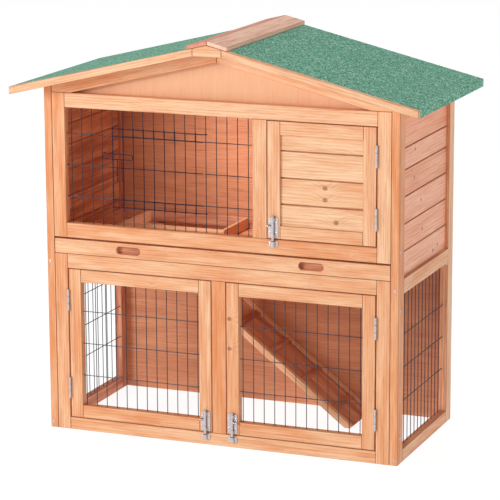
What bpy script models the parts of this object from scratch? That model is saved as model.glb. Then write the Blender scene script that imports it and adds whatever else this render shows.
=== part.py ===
"""Two-storey wooden rabbit hutch: a closed upper floor with a nest, over an open-bottomed run.

+X runs along the front to the right, +Y towards the back, +Z up. The origin is on the ground under the
middle of the roof. Sizes are in millimetres, and a piece's y is its distance behind the front face.
"""

import math

import bmesh
import bpy
from mathutils import Matrix, Vector

MM = 0.001

# Overall
BODY_WIDTH = 850
BODY_DEPTH = 395
ROOF_WIDTH = 968
ROOF_DEPTH = 480
FRONT_OVERHANG = 57
RIDGE = 923  # height of the felt's surface at the ridge
FALL = 0.24  # the roof drops this much for each millimetre from the ridge

# Timber
TIMBER = 19  # thickness of the frame boards
STILE = 32  # width of the front frame's outer stiles
POST = 36  # depth of the side frames' posts
MIDDLE = 34  # width of the posts between two doors
DOOR_STILE = 30  # width of the door frames' boards
CLADDING = 9  # thickness of the tongue-and-groove boards
DECK = 9
FELT = 2
BARGE = 12  # thickness of the bargeboards
BARGE_HEIGHT = 17.5

# Levels of the front, from the ground up
SILL = 29
RUN_TOP = 384.5
LOWER_TOP = 418.2
TRAY_TOP = 452.5
UPPER_BASE = 456.5
WINDOW_SILL = 491
WINDOW_TOP = 757.5
HEAD = 791

# Room between pieces
TOUCH = 0.3  # pieces that touch
PLAY = 1.5  # round a door
HINGE_PLAY = 2.6  # between a door's hinged edge and its post, where the leaves are
EMBED = 6  # how far mesh and boards go into the grooves of their frame

# Wire mesh
WIRE = 2
PITCH = 25.4  # between the upright wires
ROW = 76.2  # between the level wires
WINDOW_ROW = 72.4
MESH_DEPTH = 9.5  # middle of the mesh behind the front face
SIDE_MESH_INSET = 13

# Hinges and bolts
HINGE_LENGTH = 50
KNUCKLE_RADIUS = 3
PIN_RADIUS = 1.4
LEAF = 0.8
LEAF_WIDTH = 14
BOLT_PLATE = 45
BOLT_RADIUS = 3

# Derived places
OUTER = BODY_WIDTH / 2
INNER = OUTER - TIMBER
OPENING = INNER - STILE
NEST_LEFT = 117
WINDOW_RIGHT = NEST_LEFT - MIDDLE
FRONT = FRONT_OVERHANG - ROOF_DEPTH / 2
DECK_UNDERSIDE = FELT + TOUCH + DECK + TOUCH  # below the felt's surface, where the walls end
KNUCKLE_DEPTH = -(KNUCKLE_RADIUS + TOUCH)
BACK_INSIDE = BODY_DEPTH - 9
BACK_THICKNESS = 6


def clear_scene():
    for thing in list(bpy.data.objects):
        bpy.data.objects.remove(thing, do_unlink=True)


def finish(name, colour, roughness, metallic=0.0):
    """A Principled material."""
    material = bpy.data.materials.new(name)
    material.use_nodes = True
    shader = material.node_tree.nodes["Principled BSDF"]
    shader.inputs["Base Color"].default_value = (*colour, 1.0)
    shader.inputs["Roughness"].default_value = roughness
    shader.inputs["Metallic"].default_value = metallic
    return material


def make_materials():
    return {
        "pine": finish("pine", (0.80, 0.49, 0.27), 0.55),
        "stained": finish("stained", (0.46, 0.16, 0.08), 0.6),
        "plywood": finish("plywood", (0.72, 0.42, 0.24), 0.6),
        "felt": finish("felt", (0.10, 0.20, 0.14), 0.95),
        "wire": finish("wire", (0.35, 0.38, 0.42), 0.4, 1.0),
        "zinc": finish("zinc", (0.75, 0.76, 0.78), 0.3, 1.0),
    }


# ---------------------------------------------------------------- shapes


def new_object(name, shape, centre, material=None):
    """Links a bmesh, drawn in millimetres round its own centre, as an object."""
    bmesh.ops.recalc_face_normals(shape, faces=shape.faces)
    bmesh.ops.scale(shape, vec=Vector((MM, MM, MM)), verts=shape.verts)
    mesh = bpy.data.meshes.new(name)
    shape.to_mesh(mesh)
    shape.free()
    thing = bpy.data.objects.new(name, mesh)
    x, y, z = centre
    thing.location = (x * MM, (FRONT + y) * MM, z * MM)
    bpy.context.scene.collection.objects.link(thing)
    if material:
        mesh.materials.append(material)
    return thing


def add_box(shape, x, y, z, centre=(0, 0, 0)):
    """Adds a box that spans the three (low, high) pairs."""
    size = Vector((x[1] - x[0], y[1] - y[0], z[1] - z[0]))
    middle = Vector(((x[0] + x[1]) / 2, (y[0] + y[1]) / 2, (z[0] + z[1]) / 2)) - Vector(centre)
    bmesh.ops.create_cube(shape, size=1, matrix=Matrix.Translation(middle) @ Matrix.Diagonal((*size, 1)))


def box(name, x, y, z, material):
    centre = ((x[0] + x[1]) / 2, (y[0] + y[1]) / 2, (z[0] + z[1]) / 2)
    shape = bmesh.new()
    add_box(shape, x, y, z, centre)
    return new_object(name, shape, centre, material)


def boxes(name, spans, material=None):
    """Several boxes that don't touch, as one mesh: bars to join, or a cutter."""
    shape = bmesh.new()
    for x, y, z in spans:
        add_box(shape, x, y, z)
    return new_object(name, shape, (0, 0, 0), material)


def prism(name, outline, along, low, high, material=None):
    """Extrudes a flat outline along X, Y or Z. The outline's pairs are the other two axes, in order."""
    axis = "XYZ".index(along)
    shape = bmesh.new()
    corners = []
    for pair in outline:
        point = list(pair)
        point.insert(axis, low)
        corners.append(shape.verts.new(point))
    face = shape.faces.new(corners)
    grown = bmesh.ops.extrude_face_region(shape, geom=[face])["geom"]
    push = Vector((0, 0, 0))
    push[axis] = high - low
    bmesh.ops.translate(shape, vec=push, verts=[v for v in grown if isinstance(v, bmesh.types.BMVert)])
    return new_object(name, shape, (0, 0, 0), material)


def cylinder(name, radius, low, high, centre, along="Z", material=None, sides=12):
    """A round bar from low to high along one axis, through centre on the other two."""
    turn = {"X": Matrix.Rotation(math.pi / 2, 4, "Y"), "Y": Matrix.Rotation(math.pi / 2, 4, "X"), "Z": Matrix()}
    axis = "XYZ".index(along)
    middle = list(centre)
    middle[axis] = (low + high) / 2
    shape = bmesh.new()
    bmesh.ops.create_cone(shape, cap_ends=True, segments=sides, radius1=radius, radius2=radius,
                          depth=high - low, matrix=turn[along])
    thing = new_object(name, shape, middle, material)
    thing.data.shade_smooth()
    thing.data.set_sharp_from_angle(angle=math.radians(40))
    return thing


def boolean(thing, tool, operation):
    """Cuts with, or joins, a tool that is hidden from the model."""
    modifier = thing.modifiers.new(operation.lower(), "BOOLEAN")
    modifier.operation = operation
    modifier.solver = "EXACT"
    modifier.object = tool
    tool.hide_render = True
    tool.display_type = "WIRE"
    return thing


def cut(thing, tool):
    return boolean(thing, tool, "DIFFERENCE")


def join(thing, tool):
    return boolean(thing, tool, "UNION")


def pivot(name, x, y, z):
    """An empty on a joint's axis."""
    empty = bpy.data.objects.new(name, None)
    empty.location = (x * MM, (FRONT + y) * MM, z * MM)
    bpy.context.scene.collection.objects.link(empty)
    return empty


def carry(parent, things):
    """Parents the pieces, and their tools, without moving them."""
    for thing in things:
        for part in [thing] + [modifier.object for modifier in thing.modifiers]:
            part.location = part.location - parent.location
            part.parent = parent


def felt_top(x):
    return RIDGE - FALL * abs(x)


# ---------------------------------------------------------------- frames and mesh


def grown(span, by):
    return (span[0] - by, span[1] + by)


def groove(name, u, z, middle, thickness, side=False):
    """The slot that mesh or boards go into, cut into the boards all round an opening."""
    slot = (middle - thickness / 2, middle + thickness / 2)
    u, z = grown(u, EMBED + TOUCH), grown(z, EMBED + TOUCH)
    return boxes(name, [(slot, u, z) if side else (u, slot, z)])


def grille(name, u, z, middle, columns, rows, row_pitch, material, side=False, gap=None):
    """Welded mesh: upright wires with level wires behind them, centred in the opening u by z.

    gap names a first and a last upright between which the wires are cut out from the lowest level wire
    to the highest, for a wire door."""
    first = (u[0] + u[1] - (columns - 1) * PITCH) / 2
    lowest = (z[0] + z[1] - (rows - 1) * row_pitch) / 2
    levels = [lowest + row * row_pitch for row in range(rows)]
    u_all, z_all = grown(u, EMBED), grown(z, EMBED)
    front, behind = (middle - 0.8 * WIRE, middle + 0.2 * WIRE), (middle - 0.2 * WIRE, middle + 0.8 * WIRE)
    uprights, bars = [], []
    for column in range(columns):
        centre = first + column * PITCH
        runs = [z_all]
        if gap and gap[0] < column < gap[1]:
            runs = [(z_all[0], levels[0] + WIRE / 2), (levels[-1] - WIRE / 2, z_all[1])]
        uprights += [((centre - WIRE / 2, centre + WIRE / 2), front, run) for run in runs]
    for row, level in enumerate(levels):
        runs = [u_all]
        if gap and 0 < row < rows - 1:
            runs = [(u_all[0], first + gap[0] * PITCH + WIRE), (first + gap[1] * PITCH - WIRE, u_all[1])]
        bars += [(run, behind, (level - WIRE / 2, level + WIRE / 2)) for run in runs]
    if side:
        uprights = [(depth, width, height) for width, depth, height in uprights]
        bars = [(depth, width, height) for width, depth, height in bars]
    return join(boxes(name, uprights, material), boxes(name + "_bars", bars))


def cladding(low, high, joints, face, back):
    """Outline of boards laid edge to edge, with a V at each joint on the face side: (depth, z) pairs."""
    half, depth = 2.0, 2.5
    inward = depth if back > face else -depth
    outline = [(face, low)]
    for joint in joints:
        outline += [(face, joint - half), (face + inward, joint), (face, joint + half)]
    return outline + [(face, high), (back, high), (back, low)]


def make_front(paint):
    across, thick = (-INNER + TOUCH, INNER - TOUCH), (0, TIMBER)
    through = (-5, TIMBER + 5)
    window, nest, window_z = (-OPENING, WINDOW_RIGHT), (NEST_LEFT, OPENING), (WINDOW_SILL, WINDOW_TOP)
    upper = box("front_upper_frame", across, thick, (UPPER_BASE, HEAD), paint["pine"])
    cut(upper, boxes("front_windows", [(window, through, window_z), (nest, through, window_z)]))
    cut(upper, groove("window_groove", window, window_z, MESH_DEPTH, 2 * WIRE))
    lower = box("front_lower_frame", across, thick, (0, LOWER_TOP), paint["pine"])
    run_z = (SILL, RUN_TOP)
    cut(lower, boxes("run_openings", [((-OPENING, -MIDDLE / 2), through, run_z), ((MIDDLE / 2, OPENING), through, run_z)]))
    grille("window_mesh", window, window_z, MESH_DEPTH, 18, 3, WINDOW_ROW, paint["wire"], gap=(4, 13))


def make_side(name, hand, paint):
    """hand is -1 for the left side and 1 for the right."""
    across = sorted((hand * INNER, hand * OUTER))
    height = felt_top(OUTER) - DECK_UNDERSIDE
    depth, boards_z, mesh_z = (POST, BODY_DEPTH - POST), (LOWER_TOP, 770), (SILL, RUN_TOP)
    through = sorted((hand * (INNER - 5), hand * (OUTER + 5)))
    frame = box(name + "_side_frame", across, (0, BODY_DEPTH), (0, height), paint["pine"])
    cut(frame, boxes(name + "_side_openings", [(through, depth, boards_z), (through, depth, mesh_z)]))
    board_face = OUTER - 8
    board_middle = hand * (board_face - CLADDING / 2)
    mesh_middle = hand * (OUTER - SIDE_MESH_INSET)
    cut(frame, groove(name + "_board_groove", depth, boards_z, board_middle, CLADDING + 2 * TOUCH, side=True))
    cut(frame, groove(name + "_mesh_groove", depth, mesh_z, mesh_middle, 2 * WIRE, side=True))
    joints = [474, 535, 596, 655.5, 704]
    low, high = boards_z[0] - EMBED, boards_z[1] + EMBED
    outline = cladding(low, high, joints, hand * board_face, hand * (board_face - CLADDING))
    boards = prism(name + "_side_boards", outline, "Y", depth[0] - EMBED, depth[1] + EMBED, paint["pine"])
    grille(name + "_side_mesh", depth, mesh_z, mesh_middle, 12, 3, ROW, paint["wire"], side=True)
    return boards


# ---------------------------------------------------------------- roof


def make_roof(paint):
    half, front, back = ROOF_WIDTH / 2, -FRONT_OVERHANG, ROOF_DEPTH - FRONT_OVERHANG
    inside = (front + BARGE + TOUCH, back - BARGE - TOUCH)
    lip = FELT + TOUCH
    apex = 34
    cap_width, cap = 48, 9.3
    for name, hand in (("left", -1), ("right", 1)):
        def band(near, far, top, bottom):
            """A sloped strip between two distances from the ridge, measured down from the felt's surface."""
            pairs = [(near, felt_top(near) - top), (far, felt_top(far) - top),
                     (far, felt_top(far) - bottom), (near, felt_top(near) - bottom)]
            return [(hand * x, z) for x, z in pairs]

        deck = band(TOUCH / 2, half - lip, lip, lip + DECK)
        prism(f"roof_deck_{name}", deck, "Y", *inside, paint["plywood"])
        edge = felt_top(half)
        felt = [(TOUCH / 2, felt_top(TOUCH / 2)), (half, edge), (half, edge - BARGE_HEIGHT),
                (half - FELT, edge - BARGE_HEIGHT), (half - FELT, felt_top(half - FELT) - FELT),
                (TOUCH / 2, felt_top(TOUCH / 2) - FELT)]
        prism(f"roof_felt_{name}", [(hand * x, z) for x, z in felt], "Y", inside[0], back, paint["felt"])
        front_board = band(apex + TOUCH, half, 0, BARGE_HEIGHT)
        prism(f"bargeboard_front_{name}", front_board, "Y", front, front + BARGE, paint["pine"])
        rear_board = band(TOUCH / 2, half - lip, lip, BARGE_HEIGHT)
        prism(f"bargeboard_rear_{name}", rear_board, "Y", back - BARGE, back, paint["pine"])
        strip = band(TOUCH / 2, cap_width, -TOUCH - cap, -TOUCH)
        prism(f"ridge_cap_{name}", strip, "Y", front, back, paint["stained"])
    low = felt_top(apex) - BARGE_HEIGHT
    block = [(-apex, low), (apex, low), (apex, felt_top(apex)), (0, RIDGE), (-apex, felt_top(apex))]
    prism("apex_block", block, "Y", front, front + BARGE, paint["pine"])


def make_gable_and_back(paint):
    width, slope_rail = INNER - TOUCH, 34
    seat = HEAD + TOUCH

    def under(x):
        return felt_top(x) - DECK_UNDERSIDE

    for name, hand in (("left", -1), ("right", 1)):
        meets = (under(0) - slope_rail - seat) / FALL
        rail = [(TOUCH / 2, under(0) - slope_rail), (meets, seat), (width, seat), (width, under(width)),
                (TOUCH / 2, under(TOUCH / 2))]
        prism(f"gable_rail_{name}", [(hand * x, z) for x, z in rail], "Y", 0, TIMBER, paint["pine"])
    panel = [(-width, HEAD - 16), (width, HEAD - 16), (width, under(width)), (0, under(0)), (-width, under(width))]
    prism("gable_panel", panel, "Y", TIMBER + TOUCH, TIMBER + TOUCH + 5, paint["plywood"])
    back = [(-width, 0), (width, 0), (width, under(width)), (0, under(0)), (-width, under(width))]
    prism("back_panel", back, "Y", BACK_INSIDE, BACK_INSIDE + BACK_THICKNESS, paint["stained"])


# ---------------------------------------------------------------- inside


def make_inside(paint):
    behind = (TIMBER + TOUCH, BACK_INSIDE - TOUCH)
    top = LOWER_TOP
    for name, hand in (("left", -1), ("right", 1)):
        across = sorted((hand * (INNER - TOUCH), hand * (INNER - 15)))
        box(f"tray_runner_{name}", across, behind, (top - 18, top), paint["pine"])
    ledger_right = -300
    box("ramp_ledger", (ledger_right - 20, ledger_right), behind, (top - 22, top), paint["pine"])
    make_ramp(ledger_right + 2, paint)
    divider_x, ceiling = (95, 104), felt_top(104) - DECK_UNDERSIDE - TOUCH
    foot, lintel, doorway = TRAY_TOP + 2.5, 640, (120, 290)
    start, end = TIMBER + 2 * TOUCH + 5, BACK_INSIDE - TOUCH
    outline = [(start, foot), (doorway[0], foot), (doorway[0], lintel), (doorway[1], lintel),
               (doorway[1], foot), (end, foot), (end, ceiling), (start, ceiling)]
    prism("nest_divider", outline, "X", *divider_x, paint["stained"])


def make_ramp(top_x, paint):
    """A sloping board with two edge strips and cross battens, from the ground up to the ledger."""
    foot_x, top_z = 232, 410
    tangent = top_z / (foot_x - top_x)
    angle = math.atan(tangent)
    near, far, strip = 234, BACK_INSIDE - 2, 12
    board, proud, batten, spacing = 9, 6, 16, 100

    def slab(name, under, over, y):
        """From under to over, both measured square to the board's top, and cut level at the ground."""
        low, high = under / math.cos(angle), over / math.cos(angle)
        pairs = [(foot_x + high / tangent, 0), (foot_x + low / tangent, 0),
                 (top_x, top_z + low), (top_x, top_z + high)]
        return prism(name, pairs, "Y", *y)

    ramp = slab("ramp", -board, 0, (near, far))
    ramp.data.materials.append(paint["stained"])
    inside = board / 2
    for index, start in enumerate((near + TOUCH, far - TOUCH - strip)):
        join(ramp, slab(f"ramp_strip_{index}", -inside, proud, (start, start + strip)))
    length = (foot_x - top_x) / math.cos(angle)
    direction = Vector((-math.cos(angle), math.sin(angle)))
    square = Vector((math.sin(angle), math.cos(angle)))
    for index in range(int(length // spacing)):
        middle = Vector((foot_x, 0)) + direction * (index + 0.6) * spacing
        ends = middle - direction * batten / 2, middle + direction * batten / 2
        pairs = [ends[0] - square * inside, ends[1] - square * inside, ends[1] + square * 5, ends[0] + square * 5]
        join(ramp, prism(f"ramp_batten_{index}", pairs, "Y", near + strip / 2, far - strip / 2))


def make_tray(paint):
    """The sliding floor of the upper storey, with a rim, and a curb round the hole for the ramp."""
    width, front_board = INNER - 1, 12
    slot_half, slot_x, slot_z = 9, 221, 436
    front = box("tray_front", (-width, width), (0, front_board), (LOWER_TOP + 0.8, TRAY_TOP), paint["pine"])
    for name, centre in (("left", -slot_x), ("right", slot_x)):
        outline = []
        for end, start_angle in ((30 - slot_half, -90), (slot_half - 30, 90)):
            for step in range(7):
                angle = math.radians(start_angle + step * 30)
                outline.append((centre + end + slot_half * math.cos(angle), slot_z + slot_half * math.sin(angle)))
        cut(front, prism(f"finger_slot_{name}", outline, "Y", -5, front_board + 5))
    base, floor, rim, curb, wall = LOWER_TOP + 0.8, 5, TRAY_TOP - 0.5, TRAY_TOP - 2.5, 8
    y = (front_board + TOUCH, BACK_INSIDE - 3)
    hole_x, hole_y = (-330, -85), (230, y[1] - wall)
    pan = box("tray_pan", (-width, width), y, (base, rim), paint["stained"])
    top = (base + floor, rim + 5)
    bays = [((-width + wall, width - wall), (y[0] - 5, hole_y[0] - wall), top),
            ((-width + wall, hole_x[0] - wall), (hole_y[0] - wall, hole_y[1]), top),
            ((hole_x[1] + wall, width - wall), (hole_y[0] - wall, hole_y[1]), top)]
    for index, bay in enumerate(bays):
        cut(pan, boxes(f"tray_bay_{index}", [bay]))
    cut(pan, boxes("tray_hole", [(hole_x, hole_y, (base - 5, rim + 5))]))
    cut(pan, boxes("curb_top", [(grown(hole_x, wall + 2), (hole_y[0] - wall - 2, hole_y[1]), (curb, rim + 5))]))
    carry(pivot("tray_slide", 0, 0, base), [front, pan])


# ---------------------------------------------------------------- hinges, bolts and doors


def make_hinge(name, hand, middle, paint):
    """A butt hinge whose leaves lie in the gap beside the door. hand is 1 where the post is on the right.

    Returns the door's leaf. The post's leaf carries the pin."""
    x = hand * (OPENING - HINGE_PLAY / 2)
    low, high = middle - HINGE_LENGTH / 2, middle + HINGE_LENGTH / 2
    third = HINGE_LENGTH / 3
    levels = (low, low + third, high - third, high)
    axis = (x, KNUCKLE_DEPTH, 0)

    def leaf(leaf_name, side):
        near, far = hand * side * 0.2, hand * side * (0.2 + LEAF)
        span = sorted((x + near, x + far))
        plate = box(leaf_name, span, (2 * TOUCH, LEAF_WIDTH), (low, high), paint["zinc"])
        return plate, span

    post_leaf, span = leaf(f"{name}_hinge_post_leaf", 1)
    tabs = [(span, (-1.2, 1), (levels[0], levels[1])), (span, (-1.2, 1), (levels[2], levels[3]))]
    join(post_leaf, boxes(f"{name}_post_tabs", [(s, y, (z[0] + 0.05, z[1] - 0.05)) for s, y, z in tabs]))
    join(post_leaf, cylinder(f"{name}_knuckle_low", KNUCKLE_RADIUS, levels[0], levels[1], axis))
    join(post_leaf, cylinder(f"{name}_knuckle_high", KNUCKLE_RADIUS, levels[2], levels[3], axis))
    join(post_leaf, cylinder(f"{name}_pin", PIN_RADIUS, levels[0] + 2, levels[3] - 2, axis))
    door_leaf, span = leaf(f"{name}_hinge_door_leaf", -1)
    inner = (levels[1] + TOUCH, levels[2] - TOUCH)
    tab = boxes(f"{name}_door_tab", [(span, (-1.2, 1), (inner[0] + 0.05, inner[1] - 0.05))])
    barrel = cylinder(f"{name}_barrel", KNUCKLE_RADIUS, *inner, axis)
    join(door_leaf, tab)
    join(door_leaf, barrel)
    cut(door_leaf, cylinder(f"{name}_bore", PIN_RADIUS + 0.1, inner[0] - 1, inner[1] + 1, axis))
    return door_leaf


def make_bolt(name, x, door_bottom, hand, paint):
    """A small barrel bolt that drops behind a keeper on the rail below. hand is the side its knob is on.

    Returns the plate, which stays on the door, and the bolt itself."""
    low = door_bottom + 3
    high = low + BOLT_PLATE
    keeper_top = door_bottom - 5
    depth = -5.6
    skin = (-1.5, -TOUCH)
    guide_y = (depth - 4.4, -1.0)
    half_plate, half_guide, guide = 11, 5.5, 8

    def hole(tool, z):
        return cylinder(tool, BOLT_RADIUS + 0.25, *z, (x, depth, 0))

    plate = box(f"{name}_bolt_plate", (x - half_plate, x + half_plate), skin, (low, high), paint["zinc"])
    across = (x - half_guide, x + half_guide)
    guides = [(across, guide_y, (low + 0.1, low + guide)), (across, guide_y, (high - guide, high - 0.1))]
    join(plate, boxes(f"{name}_bolt_guides", guides))
    cut(plate, hole(f"{name}_guide_hole", (low - 5, high + 5)))
    keeper_z = (keeper_top - 12, keeper_top)
    keeper = box(f"{name}_bolt_keeper", (x - half_plate, x + half_plate), skin, keeper_z, paint["zinc"])
    join(keeper, boxes(f"{name}_keeper_loop", [(across, guide_y, (keeper_z[0] + 0.1, keeper_z[1] - 0.1))]))
    cut(keeper, hole(f"{name}_keeper_hole", grown(keeper_z, 5)))
    bolt = cylinder(f"{name}_bolt", BOLT_RADIUS - 0.05, keeper_top + 0.5, high + 5, (x, depth, 0),
                    material=paint["zinc"])
    ends = sorted((x, x + hand * 14))
    join(bolt, cylinder(f"{name}_knob", 2.4, *ends, (0, depth, low + 26), along="X"))
    carry(pivot(f"{name}_bolt_slide", x, depth, keeper_top), [bolt])
    return plate


def make_door(name, x, z, hinge_hand, hinges, bolt_x, knob_hand, paint):
    """Frame, hinges and bolt of one door. Returns its frame, its opening, and its empty on the hinge's axis."""
    frame = box(f"{name}_frame", x, (0, TIMBER), z, paint["pine"])
    opening_x, opening_z = grown(x, -DOOR_STILE), grown(z, -DOOR_STILE)
    cut(frame, boxes(f"{name}_cut", [(opening_x, (-5, TIMBER + 5), opening_z)]))
    leaves = [make_hinge(f"{name}_{level}", hinge_hand, middle, paint) for level, middle in hinges]
    plate = make_bolt(name, bolt_x, z[0], knob_hand, paint)
    axis = pivot(f"{name}_hinge_axis", hinge_hand * (OPENING - HINGE_PLAY / 2), KNUCKLE_DEPTH, z[0])
    return frame, opening_x, opening_z, axis, [frame, plate] + leaves


def make_doors(paint):
    run_z = (SILL + PLAY, RUN_TOP - PLAY)
    levels = (("upper", 310), ("lower", 101.5))
    hinged = OPENING - HINGE_PLAY
    free = MIDDLE / 2 + PLAY
    bolt_inset = 14.5
    for name, hand in (("left_run_door", -1), ("right_run_door", 1)):
        x = sorted((hand * free, hand * hinged))
        bolt_x = hand * (free + bolt_inset)
        knob = -1 if hand < 0 else 1
        frame, u, z, axis, pieces = make_door(name, x, run_z, hand, levels, bolt_x, knob, paint)
        cut(frame, groove(f"{name}_groove", u, z, MESH_DEPTH, 2 * WIRE))
        mesh = grille(f"{name}_mesh", u, z, MESH_DEPTH, 12, 3, ROW, paint["wire"])
        carry(axis, pieces + [mesh])
    x, z = (NEST_LEFT + PLAY, hinged), (WINDOW_SILL + PLAY, WINDOW_TOP - PLAY)
    levels = (("upper", 692.5), ("lower", 553.5))
    frame, u, z, axis, pieces = make_door("nest_door", x, z, 1, levels, NEST_LEFT + PLAY + bolt_inset, -1, paint)
    face = 5
    cut(frame, groove("nest_door_groove", u, z, face + CLADDING / 2, CLADDING + 2 * TOUCH))
    outline = cladding(z[0] - EMBED, z[1] + EMBED, (571, 630, 690.5), face, face + CLADDING)
    boards = prism("nest_door_boards", outline, "X", u[0] - EMBED, u[1] + EMBED, paint["pine"])
    carry(axis, pieces + [boards])


def make_wire_door(paint):
    """A small mesh door in the window that turns on one of the window's own uprights, and its latch."""
    first = (WINDOW_RIGHT - OPENING - 17 * PITCH) / 2
    post = first + 13 * PITCH
    middle = (WINDOW_SILL + WINDOW_TOP) / 2
    overlap, shift = 17.5, 2.6
    half = WINDOW_ROW + overlap
    ends = (middle - half, middle + half)
    uprights = []
    for column in range(4, 13):
        centre = first + column * PITCH + shift
        uprights.append(((centre - 1, centre + 1), (4.3, 6.3), (ends[0] - 3, ends[1] + 3)))
    left = uprights[0][0][0] - 2
    bars = []
    for level in (ends[0], middle - WINDOW_ROW, middle + 1, middle + WINDOW_ROW, ends[1]):
        right = post - 2.2 if level in ends else post - 6
        bars.append(((left, right), (5.5, 7.5), (level - 1, level + 1)))
    door = boxes("wire_door", uprights, paint["wire"])
    join(door, boxes("wire_door_bars", bars))
    axis_y = MESH_DEPTH - 0.3 * WIRE
    for name, level in zip(("low", "high"), ends):
        loop = cylinder(f"wire_loop_{name}", 3.8, level - 1.2, level + 1.2, (post, axis_y, 0))
        join(door, loop)
        cut(door, cylinder(f"wire_loop_bore_{name}", 1.9, level - 3, level + 3, (post, axis_y, 0)))
    axis = pivot("wire_door_axis", post, axis_y, middle)
    carry(axis, [door])
    make_wire_latch(middle + 27, paint)


def make_wire_latch(level, paint):
    """A bent wire with two finger prongs, whose hook goes back through the mesh beside the wire door."""
    left, right, half = -283, -207, 6
    flat, deep = (1.3, 3.1), (2.1, 3.9)
    posts = [((left, left + 2), flat, (level - half - 1, level + half + 1)),
             ((right - 2, right), flat, (level - half - 1, level + half + 1)),
             ((-246, -244), flat, (level - half - 51, level - half + 1)),
             ((-235, -233), flat, (level - half - 51, level - half + 1))]
    latch = boxes("wire_latch", posts, paint["wire"])
    rails = [((left - 0.2, right + 0.2), deep, (level - half - 0.9, level - half + 0.9)),
             ((left - 0.2, right + 0.2), deep, (level + half - 0.9, level + half + 0.9))]
    join(latch, boxes("wire_latch_rails", rails))
    stem = (left + 2.5, left + 4.3)
    join(latch, boxes("wire_latch_stem", [(stem, (2.9, 13.4), (level + half - 0.6, level + half + 1.2))]))
    tip = ((left - 0.6, stem[1] - 0.3), (11.9, 13.9), (level + half - 1.0, level + half + 0.8))
    join(latch, boxes("wire_latch_tip", [tip]))
    carry(pivot("wire_latch_slide", left, flat[0], level), [latch])


def main():
    clear_scene()
    paint = make_materials()
    make_front(paint)
    make_side("left", -1, paint)
    make_side("right", 1, paint)
    make_roof(paint)
    make_gable_and_back(paint)
    make_inside(paint)
    make_tray(paint)
    make_doors(paint)
    make_wire_door(paint)


main()
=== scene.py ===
# %% [markdown]
# A two-storey rabbit hutch: a closed upper floor with a nest, over a run that is open to the ground.
# The frame that this file loads holds the plain solids and the joints. Each cell below builds what a
# joiner or a fitter would make as one job, rides it on the body that carries it, and hides the plain
# solid that it stands for.

import math
import random

import bmesh
import bpy
from mathutils import Matrix, Vector


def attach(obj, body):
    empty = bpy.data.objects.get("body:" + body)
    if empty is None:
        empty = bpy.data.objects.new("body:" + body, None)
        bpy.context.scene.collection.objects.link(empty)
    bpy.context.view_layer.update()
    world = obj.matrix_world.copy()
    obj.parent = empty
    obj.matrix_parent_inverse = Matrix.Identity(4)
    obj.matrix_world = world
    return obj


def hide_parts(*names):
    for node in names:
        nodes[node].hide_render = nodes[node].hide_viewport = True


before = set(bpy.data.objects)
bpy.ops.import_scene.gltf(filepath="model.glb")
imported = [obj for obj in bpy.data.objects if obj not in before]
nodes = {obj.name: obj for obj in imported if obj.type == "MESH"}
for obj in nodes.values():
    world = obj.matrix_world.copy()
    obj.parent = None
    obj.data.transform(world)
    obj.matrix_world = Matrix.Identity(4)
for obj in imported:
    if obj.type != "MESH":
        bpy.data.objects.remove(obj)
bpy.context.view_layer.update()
scene = bpy.context.scene
chance = random.Random(7)

# %% [markdown]
# Everything is drawn in millimetres, with y measured backwards from the face of the front frame, because
# that is how a joiner measures a cabinet. One matrix turns that into the frame's metres at the very end.
# These are the sizes that more than one piece needs.

# %% Sizes that pieces share
MM = 0.001
FRONT = -183  # the front face, in the frame's own y
OUTER = 425  # half the width of the body
FRAME_X = 405.7  # half the width of the front frames
TIMBER = 19
FACE = (0, TIMBER)  # front and back of the front frames
INNER = OUTER - TIMBER
OPENING = 374  # inner edge of the front stiles
POST = 36  # depth of the side posts
POST_TOP = 809.4
DEPTH = 395
STOREY = 418.2  # top of the lower frames
UPPER = (456.5, 791)  # foot and head of the upper front frame
RUN = (29, 384.5)  # sill and head of the run's openings
WINDOW = (491, 757.5)
WINDOW_X = (-OPENING, 83)
NEST_X = (117, OPENING)
RIDGE = 923
FALL = 0.24
ROOF_HALF = 484
ROOF_Y = (-57, 423)
PITCH = 25.4  # between the upright wires of the mesh
TO_FRAME = Matrix.Diagonal((MM, MM, MM, 1)) @ Matrix.Translation((0, FRONT, 0))
SLOPE = math.atan(FALL)
print("Roof slope", round(math.degrees(SLOPE), 1), "degrees")

# %% [markdown]
# Materials are node trees. A colour is written as the hex value a paint chart gives, which is meant for
# the eye, so one function turns it into the linear light that a shader adds up. One more function adds
# any node with its settings and its links. That keeps a tree readable as a list of steps.

# %% Colour and node helpers


def colour(chart):
    """Linear RGBA from an sRGB hex value."""
    parts = [int(chart[i : i + 2], 16) / 255 for i in (1, 3, 5)]
    return [p / 12.92 if p <= 0.04045 else ((p + 0.055) / 1.055) ** 2.4 for p in parts] + [1.0]


def add(tree, kind, inputs=None, stops=None, **settings):
    """A new node. inputs gives sockets a value or a link, and stops are a ramp's (place, colour) pairs."""
    node = tree.nodes.new("ShaderNode" + kind)
    for key, value in settings.items():
        setattr(node, key, value)
    for key, value in (inputs or {}).items():
        if isinstance(value, bpy.types.NodeSocket):
            tree.links.new(value, node.inputs[key])
        else:
            node.inputs[key].default_value = value
    if stops:
        while len(node.color_ramp.elements) < len(stops):
            node.color_ramp.elements.new(0.5)
        for element, (place, chart) in zip(node.color_ramp.elements, stops):
            element.position = place
            element.color = colour(chart)
    return node


def start(name):
    """A new material, its tree and its shader."""
    material = bpy.data.materials.new(name)
    material.use_nodes = True
    return material, material.node_tree, material.node_tree.nodes["Principled BSDF"]


FACTOR, FIRST, SECOND, MIXED = 0, 6, 7, 2  # sockets of a colour Mix node
print("Sample:", [round(c, 3) for c in colour("#f3b485")])

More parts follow.
